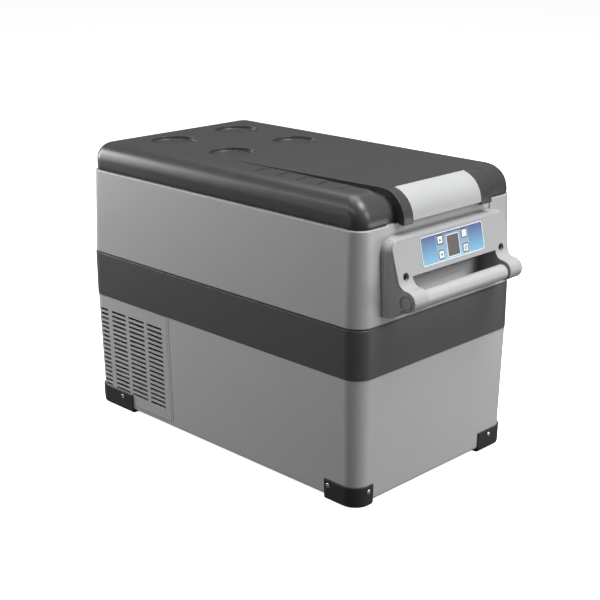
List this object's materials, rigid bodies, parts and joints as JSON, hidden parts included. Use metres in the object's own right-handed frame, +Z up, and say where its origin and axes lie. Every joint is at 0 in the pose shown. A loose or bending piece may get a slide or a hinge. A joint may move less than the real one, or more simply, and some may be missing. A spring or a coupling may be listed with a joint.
{
  "type": "compressor cooler fridge",
  "caption": "Portable compressor cooler chest with hinged lid and front latch, carrying handle at each end, sloped control panel, dark middle band, side vent grilles and corner feet.",
  "frame": {"origin": "on the floor under the middle of the body", "axes": "+X along the length, towards the control panel; +Y across the width; +Z up"},
  "size_m": [0.6356, 0.32, 0.404],
  "materials": {
    "shell_grey": "fine grained light grey plastic",
    "upper_grey": "fine grained light grey plastic",
    "band_dark": "grained charcoal plastic",
    "lid_dark": "satin charcoal plastic",
    "rim_grey": "satin grey plastic",
    "liner_white": "smooth pale liner",
    "foam": "rigid insulation foam",
    "foot_black": "matt black",
    "screw_steel": "zinc plated",
    "screw_dark": "blackened",
    "galvanised": "galvanised sheet",
    "compressor_black": "black enamel",
    "grommet": "matt rubber",
    "copper": "drawn copper tube",
    "wire_black": "black coated wire",
    "fan_black": "moulded black plastic",
    "heatsink": "extruded aluminium",
    "circuit_board": "green solder mask",
    "handle_grey": "mid grey plastic",
    "fascia_light": "light grey plastic",
    "bar_light": "pale grey plastic",
    "cap_grey": "mid grey plastic",
    "overlay_blue": "printed blue film",
    "display_glass": "dark display window",
    "key_white": "white key with black outline",
    "gasket": "soft seal",
    "latch_light": "pale grey plastic",
    "hinge_dark": "dark grey metal",
    "pin_steel": "steel pin",
    "socket_black": "black plastic",
    "lamp_white": "frosted lamp lens",
    "basket_white": "white coated wire"
  },
  "bodies": {
    "root": {"lower_shell": "shell_grey", "middle_band": "band_dark", "upper_shell": "upper_grey", "top_rim": "rim_grey", "inner_liner": "liner_white", "body_foam": "foam", "bay_wall": "galvanised", "base_tray": "galvanised", "vent_panel_left": "shell_grey", "vent_panel_right": "shell_grey", "foot_front_left": "foot_black", "foot_front_right": "foot_black", "foot_rear_left": "foot_black", "foot_rear_right": "foot_black", "foot_screws": "screw_steel", "compressor": "compressor_black", "compressor_grommets": "grommet", "condenser_tube": "copper", "condenser_wires": "wire_black", "fan_frame": "fan_black", "driver_heatsink": "heatsink", "driver_board": "circuit_board", "filter_drier": "copper", "refrigerant_lines": "copper", "evaporator_coil": "copper", "front_handle_base": "handle_grey", "front_fascia": "fascia_light", "front_handle_bar": "bar_light", "rear_handle_base": "handle_grey", "rear_fascia": "fascia_light", "rear_handle_bar": "bar_light", "handle_end_caps": "cap_grey", "fascia_screws": "screw_dark", "display_overlay": "overlay_blue", "display_module": "display_glass", "control_board": "circuit_board", "latch_catch": "hinge_dark", "hinge_body_leaves": "hinge_dark", "hinge_pins": "pin_steel", "dc_inlet": "socket_black", "ac_inlet": "socket_black", "interior_light": "lamp_white", "wire_basket": "basket_white"},
    "lid": {"lid_shell": "lid_dark", "lid_inner": "liner_white", "lid_foam": "foam", "lid_gasket": "gasket", "lid_screws": "screw_steel", "latch_pin": "pin_steel", "hinge_lid_leaves": "hinge_dark"},
    "latch": {"latch_plate": "latch_light"},
    "fan": {"fan_rotor": "fan_black"},
    "key_up": {"key_up": "key_white"},
    "key_down": {"key_down": "key_white"},
    "key_power": {"key_power": "key_white"},
    "key_set": {"key_set": "key_white"}
  },
  "joints": [
    {"name": "lid_hinge", "type": "hinge", "parent": "root", "child": "lid", "pos_m": [-0.2725, 0, 0.3645], "axis": [0, -1, 0], "range_deg": [0, 100]},
    {"name": "latch_hinge", "type": "hinge", "parent": "lid", "child": "latch", "pos_m": [0.247, 0, 0.4], "axis": [0, -1, 0], "range_deg": [0, 30], "stiffness_Nm_per_rad": 0.08, "springref_deg": -8.59},
    {"name": "fan_spin", "type": "hinge", "parent": "root", "child": "fan", "pos_m": [-0.18, 0.0745, 0.09], "axis": [0, 1, 0], "continuous": true},
    {"name": "key_up_press", "type": "slide", "parent": "root", "child": "key_up", "axis": [-0.9772, 0, -0.2123], "range_m": [0, 0.0008], "stiffness_N_per_m": 500},
    {"name": "key_down_press", "type": "slide", "parent": "root", "child": "key_down", "axis": [-0.9772, 0, -0.2123], "range_m": [0, 0.0008], "stiffness_N_per_m": 500},
    {"name": "key_power_press", "type": "slide", "parent": "root", "child": "key_power", "axis": [-0.9772, 0, -0.2123], "range_m": [0, 0.0008], "stiffness_N_per_m": 500},
    {"name": "key_set_press", "type": "slide", "parent": "root", "child": "key_set", "axis": [-0.9772, 0, -0.2123], "range_m": [0, 0.0008], "stiffness_N_per_m": 500}
  ]
}
